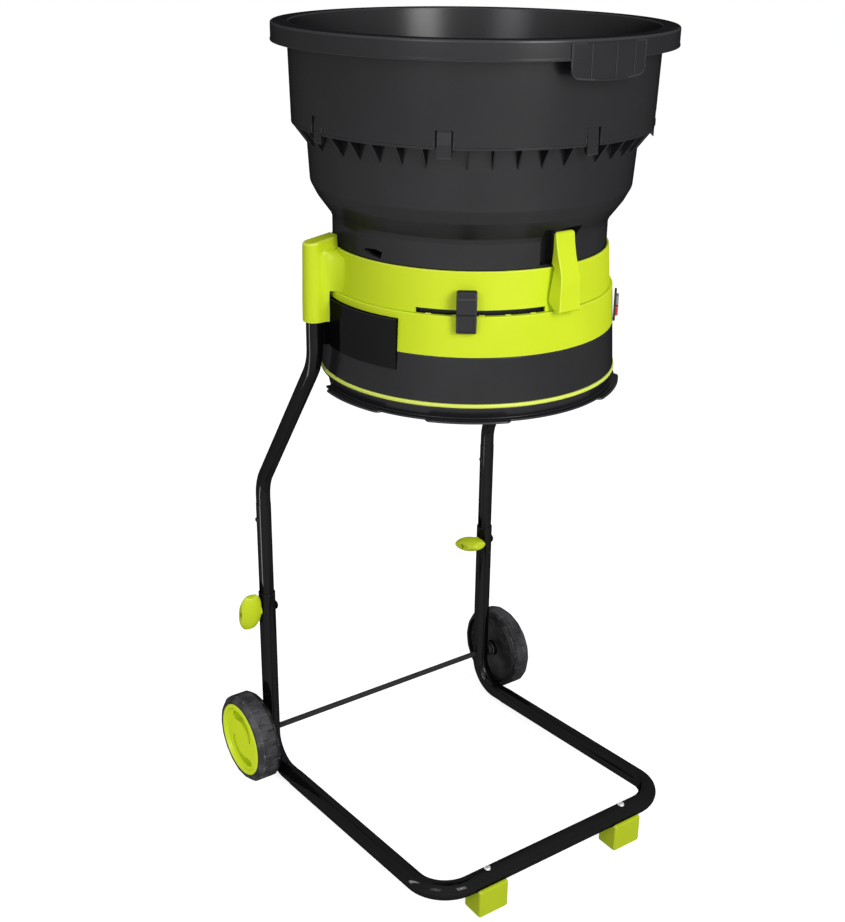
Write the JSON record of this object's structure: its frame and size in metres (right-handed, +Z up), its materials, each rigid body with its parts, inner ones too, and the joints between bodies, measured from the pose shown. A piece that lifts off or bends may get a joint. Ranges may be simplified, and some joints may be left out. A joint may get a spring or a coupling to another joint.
{
  "type": "electric garden leaf shredder",
  "caption": "Round funnel-hopper leaf shredder on a wheeled tubular stand with sliding legs, swing latches, a shutter slider and a spinning line head.",
  "frame": {"origin": "on the floor at the middle of the footprint; the hopper axis stands 9.95 mm in front of it, at x 0", "axes": "+Z up; -Y is the front, with the crossbar and the two feet; +Y is the rear, with the wheels; X runs along the axle"},
  "size_m": [0.484, 0.4884, 1.0413],
  "materials": {
    "black_plastic": "satin moulded black plastic with a slight blue cast",
    "lime_plastic": "satin moulded lime-green plastic",
    "black_painted_steel": "gloss black paint on steel tube and plate",
    "tyre_rubber": "dull black",
    "zinc_steel": "zinc-plated",
    "motor_steel": "dull drawn steel can",
    "cutting_line": "extruded nylon",
    "grey_plastic": "satin",
    "red_plastic": "satin",
    "brass": "bright"
  },
  "bodies": {
    "stand": {"base_tube": "black_painted_steel", "lower_leg_left": "black_painted_steel", "lower_leg_right": "black_painted_steel", "axle": "black_painted_steel", "axle_spacer_left": "black_plastic", "axle_spacer_right": "black_plastic", "foot_left": "lime_plastic", "foot_right": "lime_plastic", "foot_screw_left": "zinc_steel", "foot_screw_right": "zinc_steel", "clamp_bolt_left": "zinc_steel", "clamp_bolt_right": "zinc_steel"},
    "machine": {"lower_housing": "black_plastic", "housing_band": "lime_plastic", "cutter_collar": "lime_plastic", "trim_ring": "lime_plastic", "discharge_ring": "black_plastic", "saddle_plate_left": "black_painted_steel", "saddle_plate_right": "black_painted_steel", "motor_spider": "black_plastic", "motor_can": "motor_steel", "motor_end_cap": "black_plastic", "upper_bearing": "zinc_steel", "latch_pin_front": "zinc_steel", "latch_pin_rear": "zinc_steel", "upper_leg_left": "black_painted_steel", "upper_leg_right": "black_painted_steel", "mid_leg_left": "black_painted_steel", "mid_leg_right": "black_painted_steel", "switch_plate": "black_plastic", "power_inlet": "black_plastic", "inlet_blade_a": "brass", "inlet_blade_b": "brass"},
    "hopper": {"upper_hopper": "black_plastic", "lower_hopper": "black_plastic"},
    "rotor": {"motor_shaft": "zinc_steel", "line_head": "black_plastic", "line_clamp_a": "zinc_steel", "line_clamp_b": "zinc_steel", "cutting_line_a": "cutting_line", "cutting_line_b": "cutting_line", "head_nut": "zinc_steel"},
    "shutter": {"shutter_ring": "black_plastic", "shutter_slider": "black_plastic"},
    "latch_front": {"latch_lever_front": "lime_plastic"},
    "latch_rear": {"latch_lever_rear": "lime_plastic"},
    "snap_left": {"snap_button_left": "zinc_steel"},
    "snap_right": {"snap_button_right": "zinc_steel"},
    "start": {"start_button": "grey_plastic"},
    "stop": {"stop_button": "red_plastic"},
    "knob_left": {"height_knob_left": "lime_plastic"},
    "knob_right": {"height_knob_right": "lime_plastic"},
    "wheel_left": {"tyre_left": "tyre_rubber", "wheel_hub_left": "lime_plastic"},
    "wheel_right": {"tyre_right": "tyre_rubber", "wheel_hub_right": "lime_plastic"}
  },
  "joints": [
    {"name": "leg_height", "type": "slide", "parent": "stand", "child": "machine", "axis": [0, 0, 1], "range_m": [-0.04, 0.06]},
    {"name": "hopper_lift", "type": "slide", "parent": "machine", "child": "hopper", "axis": [0, 0, 1], "range_m": [0, 0.08]},
    {"name": "rotor_spin", "type": "hinge", "parent": "machine", "child": "rotor", "pos_m": [0, -0.00995, 0.7172], "axis": [0, 0, 1], "continuous": true},
    {"name": "shutter_turn", "type": "hinge", "parent": "machine", "child": "shutter", "pos_m": [0, -0.00995, 0.6871], "axis": [0, 0, 1], "range_deg": [-16.5, 19.8]},
    {"name": "latch_front_swing", "type": "hinge", "parent": "machine", "child": "latch_front", "pos_m": [0, -0.19195, 0.7562], "axis": [1, 0, 0], "range_deg": [0, 70]},
    {"name": "latch_rear_swing", "type": "hinge", "parent": "machine", "child": "latch_rear", "pos_m": [0, 0.17205, 0.7562], "axis": [-1, 0, 0], "range_deg": [0, 70]},
    {"name": "snap_left_press", "type": "slide", "parent": "machine", "child": "snap_left", "axis": [1, 0, 0], "range_m": [0, 0.004], "stiffness_N_per_m": 900, "springref_m": -0.003},
    {"name": "snap_right_press", "type": "slide", "parent": "machine", "child": "snap_right", "axis": [1, 0, 0], "range_m": [0, 0.004], "stiffness_N_per_m": 900, "springref_m": -0.003},
    {"name": "start_press", "type": "slide", "parent": "machine", "child": "start", "axis": [-0.7193, 0.6947, 0], "range_m": [0, 0.0022], "stiffness_N_per_m": 900, "springref_m": -0.002},
    {"name": "stop_press", "type": "slide", "parent": "machine", "child": "stop", "axis": [-0.7193, 0.6947, 0], "range_m": [0, 0.0022], "stiffness_N_per_m": 900, "springref_m": -0.002},
    {"name": "knob_left_turn", "type": "hinge", "parent": "stand", "child": "knob_left", "pos_m": [-0.2168, 0.18105, 0.262], "axis": [-1, 0, 0], "continuous": true},
    {"name": "knob_right_turn", "type": "hinge", "parent": "stand", "child": "knob_right", "pos_m": [0.1612, 0.18105, 0.262], "axis": [-1, 0, 0], "continuous": true},
    {"name": "wheel_left_roll", "type": "hinge", "parent": "stand", "child": "wheel_left", "pos_m": [-0.22355, 0.18105, 0.0632], "axis": [1, 0, 0], "continuous": true},
    {"name": "wheel_right_roll", "type": "hinge", "parent": "stand", "child": "wheel_right", "pos_m": [0.22355, 0.18105, 0.0632], "axis": [1, 0, 0], "continuous": true}
  ]
}
